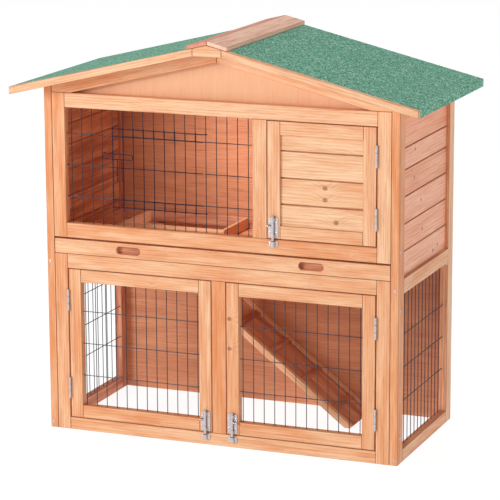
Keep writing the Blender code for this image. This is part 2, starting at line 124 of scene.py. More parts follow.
# %% [markdown]
# Softwood shows growth rings. A saw cuts a board out of a round trunk, so the rings are tubes along the
# board: on a face they draw long curves, and on an end they draw arcs. A Wave texture in rings mode does
# that in three dimensions. Each board carries its own grain coordinates, in millimetres from its own
# part of the trunk, so no two boards show the same figure. Knots are the cells of a Voronoi texture:
# close to a cell's point the rings are pushed aside, and at the point the wood is dark.

# %% Softwood
# how many drawn features there are in a millimetre: along the grain, across it and into the board
KNOTS = (0.006, 0.0095, 0.003)  # longer along the grain, and running into the board like branches
STREAKS = (0.045, 1, 1)
FIBRES = (0.012, 0.42, 0.42)  # under a millimetre wide, and drawn about 2.5 mm wide so that they show
CLOUDS = (0.006, 0.05, 0.05)  # where the stain went in deeper
SPOT_ACROSS, SPOT_UP = 0.008, 0.0095  # the same for a knot whose place is listed


def wood(name, pale, deep, line, knot, ring=6.0, lines=0.5, gloss=0.5, along=None, knots=0.035, fuzz=0.55,
         spots=(), face="X", seam="#7a3d20", depth=0.5):
    """Planed softwood. along is for plain solids, which have no grain coordinates: the way their grain runs.

    spots are the (across, z) places, in millimetres, of knots that this board has for certain, and face is
    the axis that across runs along. seam is the colour on the eased edges: the stain that collects there,
    and on the inside wood painted shade as well.
    depth is how deep the stain of a plain solid is."""
    material, tree, shader = start(name)
    here = add(tree, "TexCoord").outputs["Object"]
    if along is None:
        grain = add(tree, "Attribute", attribute_name="grain").outputs["Vector"]
        tint = add(tree, "Attribute", attribute_name="tint").outputs["Fac"]
    else:
        turn = {"X": (0, 0, 0), "Y": (0, 0, -math.pi / 2), "Z": (0, math.pi / 2, 0)}[along]
        grain = add(tree, "Mapping", {"Vector": here, "Rotation": turn, "Scale": (1000, 1000, 1000),
                                      "Location": (0, 83, 61)}).outputs["Vector"]
        tint = depth
    drawn = add(tree, "Mapping", {"Vector": grain, "Scale": KNOTS}).outputs["Vector"]
    cell = add(tree, "TexVoronoi", {"Vector": drawn, "Scale": 1.0}).outputs["Distance"]
    for across, up in spots:
        if face == "X":
            move = (-across * SPOT_ACROSS, 0, -up * SPOT_UP)
            size = (1000 * SPOT_ACROSS, 0, 1000 * SPOT_UP)
        else:
            move = (0, -(across + FRONT) * SPOT_ACROSS, -up * SPOT_UP)
            size = (0, 1000 * SPOT_ACROSS, 1000 * SPOT_UP)
        centred = add(tree, "Mapping", {"Vector": here, "Location": move, "Scale": size}).outputs["Vector"]
        apart = add(tree, "VectorMath", {0: centred}, operation="LENGTH").outputs["Value"]
        cell = add(tree, "Math", {0: cell, 1: apart}, operation="MINIMUM").outputs["Value"]
    near = add(tree, "MapRange", {"Value": cell, "From Min": knots * 0.6, "From Max": knots * 4.5,
                                  "To Min": 11.0, "To Max": 0.0},
               interpolation_type="SMOOTHSTEP").outputs["Result"]
    heart = add(tree, "MapRange", {"Value": cell, "From Min": knots * 0.5, "From Max": knots * 0.95,
                                   "To Min": 0.7, "To Max": 0.0},
                interpolation_type="SMOOTHSTEP").outputs["Result"]
    # growth rings: 20 radians of the Wave texture are one unit, so one ring is 2 pi / 20 units
    length = add(tree, "Mapping", {"Vector": grain, "Scale": STREAKS}).outputs["Vector"]
    aside = add(tree, "CombineXYZ", {"X": 0.0, "Y": near, "Z": near}).outputs["Vector"]
    bent_in = add(tree, "VectorMath", {0: length, 1: aside}, operation="ADD").outputs["Vector"]
    rings = add(tree, "TexWave", {"Vector": bent_in, "Scale": math.tau / 20 / ring, "Distortion": 5.0,
                                  "Detail": 3.0, "Detail Scale": 0.8, "Detail Roughness": 0.55},
                wave_type="RINGS", rings_direction="X", wave_profile="SAW").outputs["Fac"]
    late = add(tree, "Math", {0: rings, 1: 1.7}, operation="POWER").outputs["Value"]
    thin = add(tree, "Mapping", {"Vector": grain, "Scale": FIBRES}).outputs["Vector"]
    fibre = add(tree, "TexNoise", {"Vector": thin, "Scale": 1.0, "Detail": 4.0,
                                   "Roughness": 0.75}).outputs["Fac"]
    broad = add(tree, "Mapping", {"Vector": grain, "Scale": CLOUDS}).outputs["Vector"]
    cloud = add(tree, "TexNoise", {"Vector": broad, "Scale": 1.0, "Detail": 3.0,
                                   "Roughness": 0.6}).outputs["Fac"]
    # one sheet takes the stain more evenly than boards from many trees
    reach = 0.38 if along is None else 0.1
    drift = add(tree, "MapRange", {"Value": cloud, "From Min": 0.32, "From Max": 0.68, "To Min": -reach,
                                   "To Max": reach}).outputs["Result"]
    tone = add(tree, "Math", {0: tint, 1: drift}, operation="ADD", use_clamp=True).outputs["Value"]
    body = add(tree, "Mix", {FACTOR: tone, FIRST: colour(pale), SECOND: colour(deep)}, data_type="RGBA")
    # the late wood comes and goes, so that some stretches are almost plain
    comes = add(tree, "MapRange", {"Value": cloud, "From Min": 0.35, "From Max": 0.65, "To Min": lines * 0.35,
                                   "To Max": lines}).outputs["Result"]
    much = add(tree, "Math", {0: late, 1: comes}, operation="MULTIPLY").outputs["Value"]
    ringed = add(tree, "Mix", {FACTOR: much, FIRST: body.outputs[MIXED], SECOND: colour(line)},
                 data_type="RGBA")
    hair = add(tree, "MapRange", {"Value": fibre, "From Min": 0.49, "From Max": 0.66, "To Min": 0.0,
                                  "To Max": fuzz}).outputs["Result"]
    haired = add(tree, "Mix", {FACTOR: hair, FIRST: ringed.outputs[MIXED], SECOND: colour(line)},
                 data_type="RGBA")
    done = add(tree, "Mix", {FACTOR: heart, FIRST: haired.outputs[MIXED], SECOND: colour(knot)},
               data_type="RGBA")
    # The middle of each eased edge takes the seam colour: stain that collects there, and on the inside wood
    # painted shade too
    if along is None:
        edge = add(tree, "Attribute", attribute_name="edge").outputs["Fac"]
        stain_and_shade_edge = add(tree, "Math", {0: edge, 1: 0.8}, operation="MULTIPLY").outputs["Value"]
        done = add(tree, "Mix", {FACTOR: stain_and_shade_edge, FIRST: done.outputs[MIXED], SECOND: colour(seam)},
                   data_type="RGBA")
    tree.links.new(done.outputs[MIXED], shader.inputs["Base Color"])
    rough = add(tree, "MapRange", {"Value": fibre, "To Min": gloss - 0.08,
                                   "To Max": gloss + 0.12}).outputs["Result"]
    tree.links.new(rough, shader.inputs["Roughness"])
    relief = add(tree, "Math", {0: fibre, 1: late}, operation="ADD").outputs["Value"]
    bump = add(tree, "Bump", {"Height": relief, "Strength": 0.35, "Distance": 0.0004}).outputs["Normal"]
    tree.links.new(bump, shader.inputs["Normal"])
    return material


print("Fibres are drawn", round(1 / FIBRES[1], 1), "mm wide")

# %% [markdown]
# All the wood on the hutch is one recipe with different colours, ring widths and knots. Outside it has a
# thin honey stain. Inside it has a red-brown one, which is darker and flatter, and part of that darkness
# is painted shade for the inside of the hutch.

# %% Kinds of wood
HONEY = ("#f2c399", "#e39158", "#bf6a38", "#8a4a2c")  # pale wood, deep wood, late wood and knots
# Planed fir under a thin honey stain: warm, half matt, with darker lines of late wood
PINE = wood("planed fir, honey stain", *HONEY)
# The right run door has two knots in its left stile
PINE_KNOTTED = wood("planed fir, honey stain, knotty", *HONEY, knots=0.06, spots=((26, 300), (26, 231)))
# Tongue-and-groove fir: the same stain on wider boards, so more figure and more knots show
CLADDING = wood("tongue-and-groove fir, honey stain", "#fcbd9c", "#f0a27a", "#cb7a50", "#8a4a34", ring=7.0,
                knots=0.05, face="Y",
                spots=((130, 690), (125, 628), (175, 568), (330, 765), (185, 500), (300, 440)))
# The nest door's boards are a little yellower and have larger knots
CLADDING_NEST = wood("tongue-and-groove fir, nest door", "#f3c9a0", "#e7a06c", "#c47442", "#7d4a30",
                     ring=7.0, knots=0.065, spots=((252, 613), (252, 587), (278, 538)))
# Fir inside the hutch, with a red-brown stain that is darker and flatter. Part of that darkness is painted
# shade, and so is part of the near-black seam on its eased edges, which draws the shade under the ramp's
# battens
INSIDE = wood("fir, red-brown stain and painted shade", "#f4b185", "#b8694e", "#8f4c33", "#6b3522", gloss=0.6, seam="#42180c")
# Thin plywood: wide, faint figure from the peeled veneer
PLYWOOD = wood("stained plywood", "#e9b890", "#e2a378", "#cf8355", "#c88757", ring=9.0, lines=0.05,
               along="Z", knots=0.01, fuzz=0.3)
# The roof's decks are paler, because they had less stain
PLY_DECK = wood("stained plywood, roof deck", "#ffd8b0", "#f5c39a", "#c98f68", "#8a5233", ring=14.0,
                lines=0.3, along="X", knots=0.01)
# The back and the nest's divider have the red-brown of the inside, which is partly stain and partly
# painted shade
PLY_BACK = wood("plywood, red-brown stain and painted shade", "#f8b484", "#b26340", "#8a4026", "#8a4a30", ring=4.0,
                lines=0.25, along="X", knots=0.01, gloss=0.6, fuzz=0.45, depth=0.6)
# Ridge boards: weathered and pinkish
RIDGE_WOOD = wood("fir, weathered pink-brown", "#ffd0b6", "#dc9072", "#b8694c", "#83493a", ring=5.0,
                  seam="#a0503a")
print(len(bpy.data.materials), "materials so far")

# %% [markdown]
# Roofing felt is bitumen sheet with crushed stone pressed into it. Up close it is thousands of grains
# in a few greens, each a different lightness, with a rough relief. A Voronoi texture gives every grain
# its own random number, and a ramp turns that into one of the greens. Real grains are about 1 mm, and
# they are drawn at 2.2 mm so that the speckle still shows.

# %% Felt
GRAIN = 2.2
GREENS = [(0.0, "#236148"), (0.3, "#4d9077"), (0.62, "#69ac90"), (0.86, "#92caae"), (1.0, "#cdebd9")]


def granule_felt():
    """Grains of crushed stone, with patches where the darker or the paler ones prevail."""
    material, tree, shader = start("roofing felt, green granules")
    here = add(tree, "TexCoord").outputs["Object"]
    grains = add(tree, "TexVoronoi", {"Vector": here, "Scale": 1000 / GRAIN})
    number = add(tree, "SeparateColor", {"Color": grains.outputs["Color"]}).outputs["Red"]
    patches = add(tree, "TexNoise", {"Vector": here, "Scale": 60.0, "Detail": 4.0,
                                     "Roughness": 0.7}).outputs["Fac"]
    pushed = add(tree, "MapRange", {"Value": patches, "From Min": 0.3, "From Max": 0.7, "To Min": -0.07,
                                    "To Max": 0.07}).outputs["Result"]
    place = add(tree, "Math", {0: number, 1: pushed}, operation="ADD", use_clamp=True).outputs["Value"]
    greens = add(tree, "ValToRGB", {"Fac": place}, stops=GREENS)
    tree.links.new(greens.outputs["Color"], shader.inputs["Base Color"])
    shader.inputs["Roughness"].default_value = 0.85
    bump = add(tree, "Bump", {"Height": grains.outputs["Distance"], "Strength": 0.6, "Distance": 0.0008},
               invert=True).outputs["Normal"]
    tree.links.new(bump, shader.inputs["Normal"])
    return material


FELT = granule_felt()
print("Felt grains", GRAIN, "mm")

# %% [markdown]
# The wires and the fittings are steel with a skin of zinc. Zinc never has quite the same gloss all over,
# so one Noise texture clouds both its colour and its roughness. Dipped wire is dark and dull, and plated
# fittings are pale and glossy.

# %% Metals


def plated(name, chart, cloudy, gloss, mottle):
    """Metal whose plating clouds its colour and gloss a little."""
    material, tree, shader = start(name)
    here = add(tree, "TexCoord").outputs["Object"]
    cloud = add(tree, "TexNoise", {"Vector": here, "Scale": mottle, "Detail": 3.0}).outputs["Fac"]
    rough = add(tree, "MapRange", {"Value": cloud, "From Min": 0.3, "From Max": 0.7, "To Min": gloss - 0.08,
                                   "To Max": gloss + 0.12}).outputs["Result"]
    tree.links.new(rough, shader.inputs["Roughness"])
    shade = add(tree, "Mix", {FACTOR: cloud, FIRST: colour(chart), SECOND: colour(cloudy)}, data_type="RGBA")
    tree.links.new(shade.outputs[MIXED], shader.inputs["Base Color"])
    shader.inputs["Metallic"].default_value = 1.0
    return material


# Welded mesh dipped in zinc: dark grey, with soft highlights along each wire
WIRE = plated("galvanised wire", "#54555c", "#34353c", 0.4, 900.0)
# The wire door is the same steel, dulled almost to black
DARK_WIRE = plated("dulled wire", "#33354a", "#20222c", 0.5, 900.0)
# Bright zinc plate on stamped steel: paler and glossier than the mesh
ZINC = plated("bright zinc plate", "#e6dfe0", "#a9a3a6", 0.3, 400.0)
print(len(bpy.data.materials), "materials so far")

# %% [markdown]
# Most of the hutch is boards. A board is a cube stretched to size whose edges are eased with a bevel, as
# a joiner takes the sharpness off with one stroke of sandpaper. Stain gathers on an eased edge, so the
# middle of each bevel is marked and shows darker. On the inside wood that darker line is drawn near-black,
# and there it is painted shade as well. Where two boards meet, that leaves the fine dark line of a butt
# joint. A piece can hold many boards, and every point of a board keeps its place in the trunk and how deep
# its stain is.

# %% Boards
ORDER = {"X": (0, 2, 1), "Y": (1, 2, 0), "Z": (2, 0, 1)}  # length, width and depth of a board


def new_shape():
    """An empty drawing whose points can hold grain, stain and eased edges."""
    shape = bmesh.new()
    shape.verts.layers.float_vector.new("grain")
    shape.verts.layers.float.new("tint")
    shape.verts.layers.float.new("edge")
    return shape


def box(shape, x, y, z):
    """Stretches a cube over the (low, high) pairs. Gives its points and its size."""
    size = Vector((x[1] - x[0], y[1] - y[0], z[1] - z[0]))
    middle = Vector(((x[0] + x[1]) / 2, (y[0] + y[1]) / 2, (z[0] + z[1]) / 2))
    place = Matrix.Translation(middle) @ Matrix.Diagonal((*size, 1))
    return bmesh.ops.create_cube(shape, size=1, matrix=place)["verts"], size


def bevel(shape, edges, offset, segments=2):
    """Rounds edges off."""
    bmesh.ops.bevel(shape, geom=list(edges), offset=offset, offset_type="OFFSET", segments=segments,
                    profile=0.5, affect="EDGES", clamp_overlap=True, material=-1)


def ease_edges(shape, edges, offset, fresh):
    """Bevels edges and marks the middle of each bevel. Points that aren't in fresh are the new ones."""
    flats = [face.normal.copy() for face in {f for edge in edges for f in edge.link_faces}]
    bevel(shape, edges, offset)
    points = [point for point in shape.verts if point not in fresh]
    stain_and_shade_edge = shape.verts.layers.float["edge"]
    for face in shape.faces:
        face.normal_update()
    for point in points:
        on_flat = any(face.normal.dot(flat) > 0.999 for face in point.link_faces for flat in flats)
        point[stain_and_shade_edge] = 0.0 if on_flat else 1.0
    return points


def mark_grain(shape, points, along, tint):
    """Gives new points their place in the trunk, in millimetres, and how deep their stain is."""
    grain = shape.verts.layers.float_vector["grain"]
    stain = shape.verts.layers.float["tint"]
    shift = Vector((chance.uniform(0, 9000), chance.uniform(20, 90), chance.uniform(20, 90)))
    for point in points:
        point[grain] = Vector([point.co[axis] for axis in ORDER[along]]) + shift
        point[stain] = tint


def board(shape, x, y, z, along="X", tint=0.5, ease=1.1, turn=None, vee=0.0):
    """Adds a board over the (low, high) pairs. vee chamfers only its long edges, for a V joint."""
    old = set(shape.verts)
    made, size = box(shape, x, y, z)
    axis = "XYZ".index(along)
    edges = {edge for point in made for edge in point.link_edges}
    if vee:
        edges = {e for e in edges if abs((e.verts[0].co - e.verts[1].co)[axis]) > size[axis] / 2}
    for face in {f for edge in edges for f in edge.link_faces}:
        face.normal_update()
    points = ease_edges(shape, edges, vee or ease, old)
    mark_grain(shape, points, along, tint)
    if turn:
        bmesh.ops.transform(shape, matrix=turn, verts=points)


print("A board's length, width and depth by the way its grain runs:", ORDER)

# %% [markdown]
# A finished drawing becomes one object: its faces are turned outwards, it is scaled to metres, and it is
# given to the body that carries it. Some pieces have two finishes, one for the outside and, for the faces
# that look into the hutch, the red-brown one, which is partly painted shade, so a second finish can be
# given to chosen faces.

# %% From drawing to piece
ROUND_BELOW = math.radians(38)  # faces that meet at a smaller angle look like one curve


def piece(shape, name, body, finish, stands_for=(), smooth=False):
    """Turns a drawing in millimetres into a finished piece in the frame."""
    bmesh.ops.recalc_face_normals(shape, faces=shape.faces)
    bmesh.ops.transform(shape, matrix=TO_FRAME, verts=shape.verts)
    mesh = bpy.data.meshes.new(name)
    shape.to_mesh(mesh)
    shape.free()
    if smooth:
        mesh.shade_smooth()
        mesh.set_sharp_from_angle(angle=ROUND_BELOW)
    mesh.materials.append(finish)
    thing = bpy.data.objects.new(name, mesh)
    scene.collection.objects.link(thing)
    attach(thing, body)
    if stands_for:
        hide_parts(*stands_for)
    print(name, len(mesh.polygons), "faces")
    return thing


def refinish(thing, finish, chosen):
    """Gives the faces for which chosen is true a second finish."""
    thing.data.materials.append(finish)
    for face in thing.data.polygons:
        face.material_index = 1 if chosen(face) else 0


def pale_stain(thing):
    """A test that is true for the faces of a piece's palest boards."""
    stain = thing.data.attributes["tint"].data
    return lambda face: stain[face.vertices[0]].value < 0.2


print("One unit of a drawing is", MM, "m of the frame")

# %% [markdown]
# The front is two glued and screwed frames. The upper one holds the window and the nest door, the lower
# one the two run doors, and the tray slides between them. Stiles run the full height and the rails fit
# between them, which is how such flat-pack frames are made. The last number of each board is how deep
# its stain is, since no two boards take it alike.

# %% The front frames
front = new_shape()
board(front, (-FRAME_X, -OPENING), FACE, UPPER, "Z", 0.62)
board(front, (OPENING, FRAME_X), FACE, UPPER, "Z", 0.25)
board(front, (-OPENING, OPENING), FACE, (WINDOW[1], UPPER[1]), "X", 0.08)
board(front, (-OPENING, OPENING), FACE, (UPPER[0], WINDOW[0]), "X", 0.6)
board(front, (WINDOW_X[1], NEST_X[0]), FACE, WINDOW, "Z", 0.45)
piece(front, "upper_front_boards", "hutch", PINE, ["front_upper_frame"])
front = new_shape()
board(front, (-FRAME_X, -OPENING), FACE, (0, STOREY), "Z", 0.5)
board(front, (OPENING, FRAME_X), FACE, (0, STOREY), "Z", 0.42)
board(front, (-OPENING, OPENING), FACE, (RUN[1], STOREY), "X", 0.4)
board(front, (-OPENING, OPENING), FACE, (0, RUN[0]), "X", 0.36)
board(front, (-17, 17), FACE, RUN, "Z", 0.85)
piece(front, "lower_front_boards", "hutch", PINE, ["front_lower_frame"])

# %% [markdown]
# Each side is a post at the front and one at the back with three rails between them. The upper opening
# is closed with tongue-and-groove boards. Their edges are chamfered, so a V shows at every joint. The
# faces that look into the hutch have the same red-brown as the floor and the back, which is partly stain
# and partly painted shade.

# %% The sides
JOINTS = (412.2, 474, 535, 596, 655.5, 704, 776)
GAP = 1.1  # half the gap between two boards, which the tongue closes further back
WALL_Y = (30, 365)
for hand, side in ((-1, "left"), (1, "right")):
    across = sorted((hand * INNER, hand * OUTER))
    frame_side = new_shape()
    for depth, tint in (((0, POST), 0.8), ((DEPTH - POST, DEPTH), 0.7 if hand < 0 else 0.2)):
        board(frame_side, across, depth, (0, POST_TOP), "Z", tint)
    between = (POST, DEPTH - POST)
    for levels, tint in (((0, RUN[0]), 0.5), ((RUN[1], STOREY), 0.35), ((770, POST_TOP), 0.5)):
        board(frame_side, across, between, levels, "Y", tint)
    timbers = piece(frame_side, f"{side}_side_timbers", "hutch", PINE, [f"{side}_side_frame"])
    # The faces turned into the hutch, and the tops, take the inside finish: its darkness is partly painted
    # shade
    refinish(timbers, INSIDE, lambda face, hand=hand: face.normal.x * hand < -0.5 or face.normal.z > 0.5
             or face.normal.y < -0.5 and face.center.y > 0)
    wall = new_shape()
    faces = sorted((hand * 417, hand * 408))
    tongue = sorted((hand * 411, hand * 409))
    for low, high in zip(JOINTS, JOINTS[1:]):
        board(wall, faces, WALL_Y, (low + GAP, high - GAP), "Y", chance.uniform(0.15, 0.75), vee=1.2)
    for level in JOINTS[1:-1]:
        board(wall, tongue, WALL_Y, (level - 3, level + 3), "Y", 1.0, 0.3)
    wall = piece(wall, f"{side}_wall_boards", "hutch", CLADDING, [f"{side}_side_boards"])
    # The inner faces take the inside finish, whose darkness is partly painted shade
    refinish(wall, INSIDE, lambda face, hand=hand: face.normal.x * hand < -0.5)

# %% [markdown]
# Welded mesh is straight wires laid across each other and fused where they cross. Each wire is a round
# bar with eight sides, which is enough for something 2 mm thick, and the level wires sit behind the
# upright ones by less than a wire's thickness, so that they bite into each other at the welds.

# %% Welded mesh
MESH_Y = 9.5  # the middle of the mesh in the front frames and doors
LAYER = 0.6  # how far each layer of wires stands from the middle
HIDDEN = 6  # how far a wire's end runs into the wood
WINDOW_ROW, RUN_ROW = 72.4, 76.2  # between the level wires
WINDOW_COLUMNS, RUN_COLUMNS = 18, 12
DOORWAY = (4, 13)  # the window's uprights to the left and right of the wire door


def rod(shape, start_at, end_at, radius=1.0):
    """A straight round bar between two points."""
    start_at, end_at = Vector(start_at), Vector(end_at)
    way = end_at - start_at
    place = Matrix.Translation((start_at + end_at) / 2) @ way.to_track_quat("Z", "Y").to_matrix().to_4x4()
    bmesh.ops.create_cone(shape, cap_ends=True, cap_tris=False, segments=8, radius1=radius, radius2=radius,
                          depth=way.length, matrix=place)


def mesh_panel(u, z, middle, columns, row, side=False, gap=None):
    """Uprights and level wires centred in the opening u by z. gap leaves out cells for the wire door."""
    shape = bmesh.new()
    first = (u[0] + u[1] - (columns - 1) * PITCH) / 2
    levels = [(z[0] + z[1]) / 2 + step * row for step in (-1, 0, 1)]
    left, right = u[0] - HIDDEN, u[1] + HIDDEN
    bottom, top = z[0] - HIDDEN, z[1] + HIDDEN

    def point(along, depth, height):
        return (depth, along, height) if side else (along, depth, height)

    for column in range(columns):
        at = first + column * PITCH
        runs = [(bottom, top)]
        if gap and gap[0] < column < gap[1]:
            runs = [(bottom, levels[0] + 1), (levels[2] - 1, top)]
        for low, high in runs:
            rod(shape, point(at, middle - LAYER, low), point(at, middle - LAYER, high))
    for number, level in enumerate(levels):
        runs = [(left, right)]
        if gap and number == 1:
            runs = [(left, first + gap[0] * PITCH + 2), (first + gap[1] * PITCH - 2, right)]
        for low, high in runs:
            rod(shape, point(low, middle + LAYER, level), point(high, middle + LAYER, level))
    return shape


window = mesh_panel(WINDOW_X, WINDOW, MESH_Y, WINDOW_COLUMNS, WINDOW_ROW, gap=DOORWAY)
piece(window, "window_wires", "hutch", WIRE, ["window_mesh"], smooth=True)
for hand, side in ((-1, "left"), (1, "right")):
    panel = mesh_panel((POST, DEPTH - POST), RUN, hand * 412, RUN_COLUMNS, RUN_ROW, side=True)
    piece(panel, f"{side}_side_wires", "hutch", WIRE, [f"{side}_side_mesh"], smooth=True)

# %% [markdown]
# The gable closes the front under the roof: two rails cut to the roof's slope, and a thin plywood panel
# behind them. A rail is a long wedge, so its outline is drawn as a flat face and pushed back, and its
# grain runs with the slope.

# %% The gable
MITRE = 0.15  # half the gap where a left and a right piece meet under the ridge
COVER = 11.6  # felt and deck together, measured straight down
SEAT = 791.3  # where the rails rest on the upper frame
RAIL = 34  # a rail's height at the ridge


def felt_top(x):
    """How high the top of the roof is at x."""
    return RIDGE - FALL * abs(x)


def push(shape, faces, way):
    """Gives flat faces a thickness along the vector way."""
    grown = bmesh.ops.extrude_face_region(shape, geom=faces)["geom"]
    moved = [part for part in grown if isinstance(part, bmesh.types.BMVert)]
    bmesh.ops.translate(shape, vec=Vector(way), verts=moved)


def slab(shape, outline, low, high, grain_turn=0.0, tint=0.5):
    """Pushes a flat outline of (x, z) pairs from y low to y high and eases its edges."""
    old = set(shape.verts)
    corners = [shape.verts.new((x, low, z)) for x, z in outline]
    push(shape, [shape.faces.new(corners)], (0, high - low, 0))
    edges = {edge for point in set(shape.verts) - old for edge in point.link_edges}
    bmesh.ops.recalc_face_normals(shape, faces=list({f for edge in edges for f in edge.link_faces}))
    points = ease_edges(shape, edges, 1.1, old)
    lean = Matrix.Rotation(grain_turn, 4, "Y")
    bmesh.ops.transform(shape, matrix=lean, verts=points)
    mark_grain(shape, points, "X", tint)
    bmesh.ops.transform(shape, matrix=lean.inverted(), verts=points)
    return points


rails = new_shape()
ceiling = felt_top(0) - COVER
meets = (ceiling - RAIL - SEAT) / FALL
for hand, tint in ((-1, 0.55), (1, 0.4)):
    outline = [(MITRE, ceiling - RAIL), (meets, SEAT), (FRAME_X, SEAT), (FRAME_X, ceiling - FALL * FRAME_X),
               (MITRE, ceiling)]
    slab(rails, [(hand * x, z) for x, z in outline], *FACE, -hand * SLOPE, tint)
piece(rails, "gable_rails", "hutch", PINE, ["gable_rail_left", "gable_rail_right"])

# %% [markdown]
# The roof is two plywood decks under felt. Bargeboards cover the ends of the decks, a small block closes
# the point of the gable, and two boards cover the ridge, one on each slope. The felt stays the plain
# solid's sheet, which is already bent down over the eaves and covers the rear bargeboards.

# %% The roof
BARGE_THICK, BARGE_HIGH = 12, 17.5
APEX = 34  # half the width of the block at the point
SHEET = 2.3  # the felt's thickness
CAP_WIDE, CAP_LOW, CAP_HIGH = 48, 0.3, 9.6  # a ridge board's width, and its two faces above the felt
for hand, side in ((-1, "left"), (1, "right")):
    ends = {"front": (ROOF_Y[0], ROOF_Y[0] + BARGE_THICK), "rear": (ROOF_Y[1] - BARGE_THICK, ROOF_Y[1])}
    for place, y in ends.items():
        near, far, under = APEX + 0.3, ROOF_HALF, 0
        if place == "rear":
            near, far, under = MITRE, ROOF_HALF - SHEET, SHEET
        outline = [(near, felt_top(near) - under), (far, felt_top(far) - under),
                   (far, felt_top(far) - BARGE_HIGH), (near, felt_top(near) - BARGE_HIGH)]
        barge = new_shape()
        slab(barge, [(hand * x, z) for x, z in outline], *y, -hand * SLOPE, chance.uniform(0.1, 0.3))
        piece(barge, f"{place}_{side}_verge_board", "hutch", PINE,
              [f"bargeboard_{place}_{side}"])
    cap = new_shape()
    outline = [(MITRE, RIDGE + CAP_LOW), (CAP_WIDE, felt_top(CAP_WIDE) + CAP_LOW),
               (CAP_WIDE, felt_top(CAP_WIDE) + CAP_HIGH), (MITRE, RIDGE + CAP_HIGH)]
    points = slab(cap, [(hand * x, z) for x, z in outline], *ROOF_Y)
    # Painted light and shade: the right board gets the palest stain and the left one the deepest, since the
    # key lamp lights the left slope and not the right
    mark_grain(cap, points, "Y", 0.0 if hand > 0 else 0.95)
    piece(cap, f"{side}_ridge_board", "hutch", RIDGE_WOOD, [f"ridge_cap_{side}"])
block = new_shape()
low, high = felt_top(APEX) - BARGE_HIGH, felt_top(APEX)
outline = [(-APEX, low), (APEX, low), (APEX, high), (0, RIDGE), (-APEX, high)]
slab(block, outline, ROOF_Y[0], ROOF_Y[0] + BARGE_THICK, 0, 0.15)
piece(block, "apex_board", "hutch", PINE, ["apex_block"])

# %% [markdown]
# Inside, the floor of the upper storey is a tray: thin plywood with a rim of strips, and a curb round
# the hole where the ramp comes up. It slides on two runners, and a ledger beside them holds the top of
# the ramp.

# %% The tray and its runners
TRAY_X = 405
TRAY_Y = (12.3, 383)
FLOOR = (419, 424)
HOLE_X, HOLE_Y = (-330, -85), 230  # the hole runs from HOLE_Y to the rear rim
RIM_TOP, CURB_TOP = 452, 450
STRIP = 8  # thickness of the rim and the curb
PALE, DEEP = 0.1, 0.6
tray = new_shape()
board(tray, (-TRAY_X, TRAY_X), (TRAY_Y[0], HOLE_Y), FLOOR, "X", 0.25, 0.4)
board(tray, (-TRAY_X, HOLE_X[0]), (HOLE_Y, TRAY_Y[1]), FLOOR, "X", 0.25, 0.4)
board(tray, (HOLE_X[1], TRAY_X), (HOLE_Y, TRAY_Y[1]), FLOOR, "X", 0.25, 0.4)
front_in, rear_in = TRAY_Y[0] + STRIP, TRAY_Y[1] - STRIP
rim = [((-TRAY_X, TRAY_X), (TRAY_Y[0], front_in), "X"), ((-TRAY_X, TRAY_X), (rear_in, TRAY_Y[1]), "X"),
       ((-TRAY_X, STRIP - TRAY_X), (front_in, rear_in), "Y"),
       ((TRAY_X - STRIP, TRAY_X), (front_in, rear_in), "Y")]
curb = [((HOLE_X[0] - STRIP, HOLE_X[1] + STRIP), (HOLE_Y - STRIP, HOLE_Y), "X"),
        ((HOLE_X[0] - STRIP, HOLE_X[0]), (HOLE_Y, rear_in), "Y"),
        ((HOLE_X[1], HOLE_X[1] + STRIP), (HOLE_Y, rear_in), "Y")]
for strips, top, tint in ((rim, RIM_TOP, DEEP), (curb, CURB_TOP, PALE)):
    for x, y, along in strips:
        board(tray, x, y, (FLOOR[1], top), along, tint, 0.8)
tray = piece(tray, "tray_floor_and_rim", "tray", INSIDE, ["tray_pan"])
refinish(tray, PINE, pale_stain(tray))

runners = new_shape()
for x, low in (((-FRAME_X, -391), 400.2), ((391, FRAME_X), 400.2), ((-320, -300), 396.2)):
    board(runners, x, (19.3, 385.7), (low, STOREY), "Y", 0.6, 0.8)
piece(runners, "runners_and_ledger", "hutch", PINE,
      ["tray_runner_left", "tray_runner_right", "ramp_ledger"])

# %% [markdown]
# The ramp is a board with two edge strips and a batten every 100 mm for the rabbit's feet. It is drawn
# lying flat from its foot, then turned round and tilted up to the ledger. Last, two cuts trim it level
# with the ground and upright at the ledger.

# %% The ramp
FOOT, TOP = Vector((232, 0, 0)), Vector((-298, 0, 410))
WALK = (-371.7, -246.3)  # negative, because turning the ramp round reverses its y
EDGES = ((-246.3, -234), (-384, -371.7))
THICK, EDGE_TOP, BATTEN_TOP = -9, 6, 3.5
BATTEN, STEP = 16, 100
run_length = (TOP - FOOT).length
rise = Matrix.Rotation(math.atan2(TOP.z, FOOT.x - TOP.x), 4, "Y")
tilt = Matrix.Translation(FOOT) @ rise @ Matrix.Rotation(math.pi, 4, "Z")
ramp = new_shape()
board(ramp, (0, run_length), WALK, (THICK, 0), "X", 0.5, 0.8, tilt)
for y in EDGES:
    board(ramp, (0, run_length), y, (THICK, EDGE_TOP), "X", PALE, 0.8, tilt)
for step in range(int(run_length // STEP)):
    at = (step + 0.6) * STEP
    board(ramp, (at - BATTEN / 2, at + BATTEN / 2), WALK, (0, BATTEN_TOP), "Y", 0.75, 0.8, tilt)
bmesh.ops.bisect_plane(ramp, geom=ramp.verts[:] + ramp.edges[:] + ramp.faces[:], plane_co=FOOT,
                       plane_no=(0, 0, 1), clear_inner=True)
bmesh.ops.bisect_plane(ramp, geom=ramp.verts[:] + ramp.edges[:] + ramp.faces[:], plane_co=TOP,
                       plane_no=(-1, 0, 0), clear_outer=True)
bmesh.ops.holes_fill(ramp, edges=[edge for edge in ramp.edges if edge.is_boundary], sides=0)
ramp = piece(ramp, "ramp_boards", "hutch", INSIDE, ["ramp"])
refinish(ramp, PINE, pale_stain(ramp))

# %% [markdown]
# The tray's front is one board with two slots for the fingers. A slot is a circle whose two halves are
# pulled apart. The outline and the slots are filled as one flat face with holes, pushed back to the
# board's thickness, and then every sharp edge is eased.

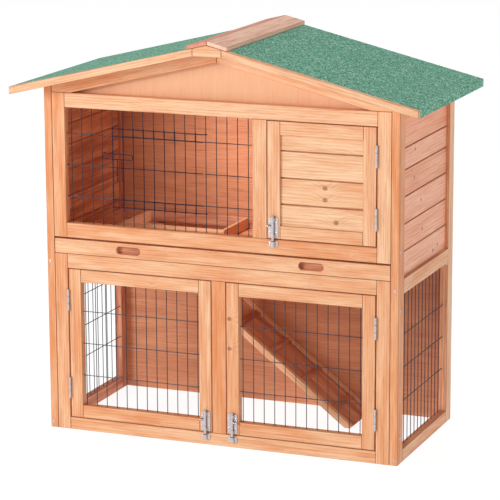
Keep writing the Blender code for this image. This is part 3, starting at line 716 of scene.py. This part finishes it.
# %% The tray's front
HALF_HIGH, CENTRE_Z = 16.75, 435.75
BOARD_THICK = 12
SLOT_X, SLOT_RADIUS, SLOT_PULL = 221, 9, 21
shape = new_shape()
bmesh.ops.create_grid(shape, x_segments=1, y_segments=1, size=1)
bmesh.ops.scale(shape, vec=Vector((TRAY_X, HALF_HIGH, 1)), verts=shape.verts)
bmesh.ops.delete(shape, geom=shape.faces[:], context="FACES_ONLY")
half_step = Matrix.Rotation(math.pi / 24, 4, "Z")  # so that no point lies on the line between the halves
for centre in (-SLOT_X, SLOT_X):
    ring = bmesh.ops.create_circle(shape, segments=24, radius=SLOT_RADIUS, matrix=half_step)["verts"]
    for point in ring:
        point.co.x += centre + math.copysign(SLOT_PULL, point.co.x)
bmesh.ops.triangle_fill(shape, use_beauty=True, edges=shape.edges[:])
push(shape, shape.faces[:], (0, 0, BOARD_THICK))
bevel(shape, [edge for edge in shape.edges if edge.is_manifold and edge.calc_face_angle(0) > 1.0], 1.1)
stand = Matrix.Translation((0, BOARD_THICK, CENTRE_Z)) @ Matrix.Rotation(math.pi / 2, 4, "X")
bmesh.ops.transform(shape, matrix=stand, verts=shape.verts)
mark_grain(shape, shape.verts, "X", 0.35)
piece(shape, "tray_front_board", "tray", PINE, ["tray_front"])

# %% [markdown]
# The nest door is a frame round tongue-and-groove boards, and the run doors are frames round mesh. All
# three hang on two butt hinges and shut with a barrel bolt.

# %% The doors
STILE = 30
DOORS = {"nest_door": ((118.5, 371.4), (492.5, 756)), "left_run_door": ((-371.4, -18.5), (30.5, 383)),
         "right_run_door": ((18.5, 371.4), (30.5, 383))}
TINTS = {"nest_door": (0.3, 0.35, 0.2, 0.35), "left_run_door": (0.5, 0.4, 0.35, 0.6),
         "right_run_door": (0.55, 0.5, 0.4, 0.4)}
for name, (x, z) in DOORS.items():
    door = new_shape()
    tint = TINTS[name]
    inside_x, inside_z = (x[0] + STILE, x[1] - STILE), (z[0] + STILE, z[1] - STILE)
    board(door, (x[0], inside_x[0]), FACE, z, "Z", tint[0])
    board(door, (inside_x[1], x[1]), FACE, z, "Z", tint[1])
    board(door, inside_x, FACE, (inside_z[1], z[1]), "X", tint[2])
    board(door, inside_x, FACE, (z[0], inside_z[0]), "X", tint[3])
    finish = PINE_KNOTTED if name == "right_run_door" else PINE
    piece(door, f"{name}_boards_of_frame", name, finish, [f"{name}_frame"])
    if name != "nest_door":
        panel = mesh_panel(inside_x, inside_z, MESH_Y, RUN_COLUMNS, RUN_ROW)
        piece(panel, f"{name}_wires", name, WIRE, [f"{name}_mesh"], smooth=True)
nest = new_shape()
NEST_WALL = (142.5, 347.4)
for low, high, tint in ((516.5, 571, 0.2), (571, 630, 0.3), (630, 690.5, 0.12), (690.5, 732, 0.25)):
    board(nest, NEST_WALL, (5, 14), (low + GAP, high - GAP), "X", tint, vee=1.2)
for level in (571, 630, 690.5):
    board(nest, NEST_WALL, (10.5, 12.5), (level - 3, level + 3), "X", 1.0, 0.3)
piece(nest, "nest_door_wall", "nest_door", CLADDING_NEST, ["nest_door_boards"])

# %% [markdown]
# Round metal parts are turned: a half outline is spun once round its axis. The knuckles of a hinge, a
# bolt's rod and knob, and the heads of screws and nails are all made that way.

# %% Turned parts


def turned(shape, outline, place, direction="Z", sides=16):
    """Spins (radius, height) pairs round an axis through place."""
    line = bmesh.new()
    points = [line.verts.new((radius, 0, height)) for radius, height in outline]
    edges = [line.edges.new(pair) for pair in zip(points, points[1:])]
    bmesh.ops.spin(line, geom=points + edges, cent=(0, 0, 0), axis=(0, 0, 1), angle=math.tau, steps=sides,
                   use_merge=True)
    bmesh.ops.remove_doubles(line, verts=line.verts, dist=0.01)
    bmesh.ops.recalc_face_normals(line, faces=line.faces)
    turn = {"X": Matrix.Rotation(math.pi / 2, 4, "Y"), "-X": Matrix.Rotation(-math.pi / 2, 4, "Y"),
            "-Y": Matrix.Rotation(math.pi / 2, 4, "X"), "Z": Matrix()}[direction]
    bmesh.ops.transform(line, matrix=Matrix.Translation(place) @ turn, verts=line.verts)
    part = bpy.data.meshes.new("turned part")
    line.to_mesh(part)
    line.free()
    shape.from_mesh(part)
    bpy.data.meshes.remove(part)


def barrel(radius, low, high, chamfer=0.35):
    """The half outline of a round bar with broken edges."""
    return [(0, low), (radius - chamfer, low), (radius, low + chamfer), (radius, high - chamfer),
            (radius - chamfer, high), (0, high)]


print("A knuckle's half outline:", barrel(3, 0, 16.5))

# %% [markdown]
# A butt hinge is two thin leaves of sheet steel that share one pin. The post's leaf ends in two knuckles
# round the pin, and the door's leaf in one between them. With the door shut only the knuckles show in
# front of the wood, and the leaves lie in the gap between door and post. A short tab joins each knuckle
# to its leaf.

# %% Hinges
HINGES = {"nest_door": (1, (692.5, 553.5)), "left_run_door": (-1, (310, 101.5)),
          "right_run_door": (1, (310, 101.5))}
PIN_Y, PIN_INSET = -3.3, 1.3  # how far the pin is before the face and inside the opening
HINGE_HALF, LEAF_HALF = 25, 24.8
KNUCKLE, KNUCKLE_RADIUS, CLEAR = 16.5, 3, 0.5
LEAF_Y, TAB_Y = (0.6, 14.0), (-1.7, 1.3)
for name, (hand, middles) in HINGES.items():
    fixed, swinging = bmesh.new(), bmesh.new()
    x = hand * (OPENING - PIN_INSET)
    for middle in middles:
        low, high = middle - HINGE_HALF, middle + HINGE_HALF
        outer = ((low, low + KNUCKLE), (high - KNUCKLE, high))
        inner = ((low + KNUCKLE + CLEAR, high - KNUCKLE - CLEAR),)
        for half, knuckles in ((fixed, outer), (swinging, inner)):
            for bottom, top in knuckles:
                turned(half, barrel(KNUCKLE_RADIUS, bottom, top), (x, PIN_Y, 0))
        outer_tabs = ((low, low + KNUCKLE - 0.1), (high - KNUCKLE + 0.1, high))
        inner_tabs = ((inner[0][0] + 0.1, inner[0][1] - 0.1),)
        for half, way, tabs in ((fixed, hand, outer_tabs), (swinging, -hand, inner_tabs)):
            span = sorted((x + way * 0.2, x + way * 1.0))
            box(half, span, LEAF_Y, (middle - LEAF_HALF, middle + LEAF_HALF))
            for tab in tabs:
                box(half, span, TAB_Y, tab)
    piece(fixed, f"{name}_hinges_on_post", "hutch", ZINC,
          [f"{name}_{end}_hinge_post_leaf" for end in ("upper", "lower")], smooth=True)
    piece(swinging, f"{name}_hinges_on_door", name, ZINC,
          [f"{name}_{end}_hinge_door_leaf" for end in ("upper", "lower")], smooth=True)

# %% [markdown]
# A barrel bolt is a small plate with two guides pressed over a round rod, and a keeper on the rail
# below. A guide is a strap that rises from the plate, goes round the rod and comes down again, so its
# outline is an arch, pushed along the rod and hollow inside.

# %% The parts of a bolt
ROD_Y = -5.6
SKIN = (-1.5, -0.3)  # front and back of a plate
GUIDE_FOOT = -1.6
ROD = 2.95
GUIDE_IN, GUIDE_OUT = 3.15, 4.35  # radii of the strap


def plate(shape, x, z):
    """A thin plate with rounded corners."""
    made, size = box(shape, x, SKIN, z)
    corners = {e for v in made for e in v.link_edges if abs(e.verts[0].co.y - e.verts[1].co.y) > size.y / 2}
    bevel(shape, corners, 2.2, 4)


def guide(shape, x, low, high):
    """A pressed strap: half a tube round the rod, and a foot on each side."""
    arch = [(math.cos(step * math.pi / 8), math.sin(step * math.pi / 8)) for step in range(9)]
    over = [(x + GUIDE_OUT * c, ROD_Y - GUIDE_OUT * s) for c, s in arch]
    under = [(x + GUIDE_IN * c, ROD_Y - GUIDE_IN * s) for c, s in reversed(arch)]
    feet_left = [(x - GUIDE_OUT, GUIDE_FOOT), (x - GUIDE_IN, GUIDE_FOOT)]
    feet_right = [(x + GUIDE_IN, GUIDE_FOOT), (x + GUIDE_OUT, GUIDE_FOOT)]
    ring = [shape.verts.new((a, b, low)) for a, b in over + feet_left + under + feet_right]
    push(shape, [shape.faces.new(ring)], (0, 0, high - low))


print("Room between rod and guide", round(GUIDE_IN - ROD, 2), "mm")

# %% [markdown]
# Each door has one bolt at the foot of the stile that it opens from. The plate, its two guides and four
# screws ride on the door, the keeper with one guide stays on the rail, and the rod with its knob slides
# on its own.

# %% Bolts
BOLTS = {"nest_door": (133, 492.5, -1), "left_run_door": (-33, 30.5, -1), "right_run_door": (33, 30.5, 1)}
PLATE_HALF, SCREW_X = 11, 8
BASE_LOW, BASE_HIGH = 3, 48  # the plate's ends above the door's foot
STRAP, LIP = 7.4, 0.4  # a guide's length on the plate, and how far it is from the plate's end
KEEPER_DROP, KEEPER_HIGH = 5, 12
SCREW_Y = -1.45
BASE_SCREW = [(0, 0), (2.1, 0), (1.9, 0.5), (1.0, 0.85), (0, 0.9)]
KEEPER_SCREW = [(0, 0), (2.0, 0), (1.8, 0.5), (0.9, 0.85), (0, 0.9)]
KNOB = [(0, 1.0), (1.7, 1.0), (1.7, 8.2), (2.4, 9.2), (2.4, 12.8), (1.6, 14.0), (0, 14.0)]
for name, (x, foot, hand) in BOLTS.items():
    base, keep, slide = bmesh.new(), bmesh.new(), bmesh.new()
    low, high = foot + BASE_LOW, foot + BASE_HIGH
    plate(base, (x - PLATE_HALF, x + PLATE_HALF), (low, high))
    guide(base, x, low + LIP, low + LIP + STRAP)
    guide(base, x, high - LIP - STRAP, high - LIP)
    for side in (-SCREW_X, SCREW_X):
        for level in (low + 11.5, high - 11.5):
            turned(base, BASE_SCREW, (x + side, SCREW_Y, level), "-Y", 12)
    top = foot - KEEPER_DROP
    plate(keep, (x - PLATE_HALF, x + PLATE_HALF), (top - KEEPER_HIGH, top))
    guide(keep, x, top - KEEPER_HIGH + LIP, top - LIP)
    for side in (-SCREW_X, SCREW_X):
        turned(keep, KEEPER_SCREW, (x + side, SCREW_Y, top - KEEPER_HIGH / 2), "-Y", 12)
    turned(slide, barrel(ROD, top + 0.5, high + 5, 0.9), (x, ROD_Y, 0))
    turned(slide, KNOB, (x, ROD_Y, foot + 29), "X" if hand > 0 else "-X")
    piece(base, f"{name}_bolt_base", name, ZINC, [f"{name}_bolt_plate"], smooth=True)
    piece(keep, f"{name}_bolt_catch", "hutch", ZINC, [f"{name}_bolt_keeper"], smooth=True)
    piece(slide, f"{name}_bolt_rod", name.replace("door", "bolt"), ZINC, [f"{name}_bolt"],
          smooth=True)

# %% [markdown]
# The window has a small door of the same mesh, so that a hand can reach in with food. It swings on one of
# the window's uprights, round which two of its wires are bent into loops. Bent wire is a round outline
# carried along a path: a circle at each point, and a band of faces from each circle to the next.

# %% Bent wire


def hoop(ring):
    """The edges of one ring of points."""
    edges = {edge for point in ring for edge in point.link_edges}
    return {edge for edge in edges if edge.verts[0] in ring and edge.verts[1] in ring}


def bent(shape, path, radius, closed=False):
    """Carries a circle along a path of points."""
    path = [Vector(point) for point in path]
    last = len(path) - 1
    ring, normal = None, None
    for number, point in enumerate(path):
        before = path[number - 1] if number or closed else point
        after = path[(number + 1) % len(path)] if number < last or closed else point
        way = (after - before).normalized()
        if normal is None:
            normal = way.orthogonal().normalized()
        normal = (normal - way * normal.dot(way)).normalized()
        turn = Matrix((normal, way.cross(normal), way)).transposed().to_4x4()
        caps = not closed and number in (0, last)
        new_ring = bmesh.ops.create_circle(shape, segments=8, radius=radius, cap_ends=caps,
                                           matrix=Matrix.Translation(point) @ turn)["verts"]
        if ring:
            bmesh.ops.bridge_loops(shape, edges=list(hoop(ring) | hoop(new_ring)))
        else:
            first_ring = new_ring
        ring = new_ring
    if closed:
        bmesh.ops.bridge_loops(shape, edges=list(hoop(ring) | hoop(first_ring)))


def corner(centre, u, v, radius=2.2, steps=4):
    """Points round a bend between two directions."""
    u, v, centre = Vector(u), Vector(v), Vector(centre)
    angles = [step * math.pi / 2 / steps for step in range(steps + 1)]
    return [centre + u * radius * math.cos(a) + v * radius * math.sin(a) for a in angles]


print(len(corner((0, 0, 0), (1, 0, 0), (0, 0, 1))), "points round a bend")

# %% [markdown]
# The wire door is nine uprights, three level wires in line with the mesh, and one more at each end.
# Those two are the ones that end in a loop round the window's upright.

# %% The wire door
LOOP = 2.85  # radius of a loop's middle line
DOOR_HALF = 89.9  # from the middle of the window to the door's end wires
first = (WINDOW_X[0] + WINDOW_X[1] - (WINDOW_COLUMNS - 1) * PITCH) / 2
post_x = first + DOORWAY[1] * PITCH
middle = sum(WINDOW) / 2
ends = (middle - DOOR_HALF, middle + DOOR_HALF)
wire_door = bmesh.new()
for column in range(*DOORWAY):
    x = first + column * PITCH + 2.6
    rod(wire_door, (x, 5.3, ends[0] - 3), (x, 5.3, ends[1] + 3))
left = first + DOORWAY[0] * PITCH - 0.4
for level in (ends[0], middle - WINDOW_ROW, middle + 1, middle + WINDOW_ROW, ends[1]):
    right = post_x - 3.2 if level in ends else post_x - 6
    rod(wire_door, (left, 6.5, level), (right, 6.5, level))
angles = [step * math.tau / 16 for step in range(16)]
for level in ends:
    loop = [(post_x + LOOP * math.cos(a), MESH_Y - LAYER + LOOP * math.sin(a), level) for a in angles]
    bent(wire_door, loop, 0.9, closed=True)
piece(wire_door, "wire_door_wires", "wire_door", DARK_WIRE, ["wire_door"], smooth=True)

# %% [markdown]
# The latch is a long closed loop of wire that slides along the front of the wire door. Two straight
# legs hang from it, and a hook at its left end reaches behind the mesh.

# %% The latch
LATCH_Y, LATCH_X = 2.4, (-282, -208)
LATCH_WIRE, HOOK_WIRE = 0.95, 0.9  # radii
BEND = 2.2
level = middle + 27
low, high = level - 6, level + 6
left, right = LATCH_X[0] + BEND, LATCH_X[1] - BEND
X, Z = Vector((1, 0, 0)), Vector((0, 0, 1))
right_bends = corner((right, LATCH_Y, high - BEND), Z, X) + corner((right, LATCH_Y, low + BEND), X, -Z)
left_bends = corner((left, LATCH_Y, low + BEND), -Z, -X) + corner((left, LATCH_Y, high - BEND), -X, Z)
latch = bmesh.new()
bent(latch, right_bends + left_bends, LATCH_WIRE, closed=True)
for x in (-245, -234):
    rod(latch, (x, LATCH_Y, low - 51), (x, LATCH_Y, low + 0.4), LATCH_WIRE)
end = LATCH_X[0]
hook = [(end + 3.4, LATCH_Y, high + 0.2), (end + 3.4, 11.3, high + 0.2), (end + 2.8, 12.7, high),
        (end + 1.4, 12.9, high - 0.1), (end - 1.4, 12.9, high - 0.1)]
bent(latch, hook, HOOK_WIRE)
piece(latch, "wire_latch_bent", "wire_latch", DARK_WIRE, ["wire_latch"], smooth=True)

# %% [markdown]
# Screws hold the sides to the fronts, and small nails hold the bargeboards. Only their heads show, just
# proud of the wood.

# %% Screws and nails
# the screw's outline dips in the middle, where the driver fits
SCREW = [(0, -1.2), (3.4, -1.2), (3.4, 0.15), (2.9, 0.5), (1.4, 0.45), (0.9, -0.6), (0, -0.7)]
NAIL = [(0, -0.5), (1.3, -0.5), (1.3, 0.1), (1.0, 0.35), (0, 0.4)]
screws = bmesh.new()
for x, z in ((-417, 396), (417, 396), (-419, 12), (419, 12)):
    turned(screws, SCREW, (x, 0, z), "-Y", 14)
for y, z in ((8, 483), (11, 351), (17, 59), (351, 384)):
    turned(screws, SCREW, (OUTER, y, z), "X", 14)
    turned(screws, SCREW, (-OUTER, y, z), "-X", 14)
piece(screws, "screw_heads", "hutch", ZINC, smooth=True)
nails = bmesh.new()
for x in (-252, 252):
    turned(nails, NAIL, (x, ROOF_Y[0], felt_top(x) - 8.7), "-Y", 10)
piece(nails, "nail_heads", "hutch", ZINC, smooth=True)

# %% [markdown]
# The large flat sheets stay the plain solids, because they have no detail beyond their material: the
# felts, the decks, the gable's panel, the back and the nest's divider.

# %% Sheets
SHEETS = {"roof_felt_left": FELT, "roof_felt_right": FELT, "roof_deck_left": PLY_DECK,
          "roof_deck_right": PLY_DECK, "gable_panel": PLYWOOD, "back_panel": PLY_BACK,
          "nest_divider": PLY_BACK}
for name, finish in SHEETS.items():
    sheet = nodes[name]
    sheet.data.materials.clear()
    sheet.data.materials.append(finish)
print(len(SHEETS), "sheets finished")

# %% [markdown]
# The hutch stands on a wide floor that glows almost white, as a light table does, so that only a faint
# shadow falls on it.

# %% Floor
floor_mesh = bpy.data.meshes.new("floor")
shape = bmesh.new()
bmesh.ops.create_grid(shape, x_segments=1, y_segments=1, size=100)
bmesh.ops.translate(shape, vec=Vector((0, 0, -0.0005)), verts=shape.verts)
shape.to_mesh(floor_mesh)
shape.free()
floor = bpy.data.objects.new("floor", floor_mesh)
scene.collection.objects.link(floor)
matt, tree, shader = start("matt white floor")
shader.inputs["Base Color"].default_value = colour("#808080")
shader.inputs["Roughness"].default_value = 0.9
shader.inputs["Specular IOR Level"].default_value = 0.0
shader.inputs["Emission Color"].default_value = (1.0, 1.0, 1.0, 1.0)
shader.inputs["Emission Strength"].default_value = 0.9
floor_mesh.materials.append(matt)
print("Floor ready")

# %% [markdown]
# The light is soft: an even white sky, and a large lamp in front and to the left, low enough to reach
# through the mesh to the back. A lamp overhead is for the roof, a weak one fills the right side, and a
# very small one hangs under the gable, behind its panel, for the upper room.

# %% Light
world = bpy.data.worlds.new("studio")
scene.world = world
world.use_nodes = True
world.node_tree.nodes["Background"].inputs["Color"].default_value = (1.0, 1.0, 1.0, 1.0)
world.node_tree.nodes["Background"].inputs["Strength"].default_value = 0.4


def lamp(name, place, aim, size, power, spread=180):
    """A square lamp at place that shines towards aim."""
    light = bpy.data.lights.new(name, "AREA")
    light.size = size
    light.energy = power
    light.spread = math.radians(spread)
    thing = bpy.data.objects.new(name, light)
    thing.location = place
    thing.rotation_mode = "QUATERNION"
    thing.rotation_quaternion = (Vector(aim) - Vector(place)).to_track_quat("-Z", "Y")
    scene.collection.objects.link(thing)


lamp("key", (-3.45, -4.75, 2.1), (0, 0, 0.4), 2.0, 205)
lamp("fill", (5.6, 0.2, 1.6), (0.4, 0, 0.5), 2.5, 22)
lamp("room", (-0.14, -0.135, 0.80), (-0.03, 0.2, 0.50), 0.05, 0.62, spread=110)
lamp("overhead", (0.4, 0.6, 4.9), (0, 0, 0.9), 3.0, 66)
scene.view_settings.view_transform = "Standard"
print(len(bpy.data.lights), "lamps")

# %% [markdown]
# The camera looks down a little from the front right. It is far away with a long lens, which keeps
# upright lines almost upright. Its place and its three turns are written out, because it isn't aimed at
# any one point of the hutch.

# %% Camera
EYE = (2.0486, -5.0953, 1.6564)
TURN, DIP, LEAN = 21.87, 12.71, -0.26  # degrees
eye = bpy.data.cameras.new("camera")
eye.lens = 176
camera = bpy.data.objects.new("camera", eye)
camera.matrix_world = (Matrix.Translation(EYE) @ Matrix.Rotation(math.radians(TURN), 4, "Z")
                       @ Matrix.Rotation(math.radians(90 - DIP), 4, "X")
                       @ Matrix.Rotation(math.radians(LEAN), 4, "Z"))
scene.collection.objects.link(camera)
scene.camera = camera
print("Camera", round(Vector(EYE).length, 2), "m from the middle of the floor, lens", eye.lens, "mm")
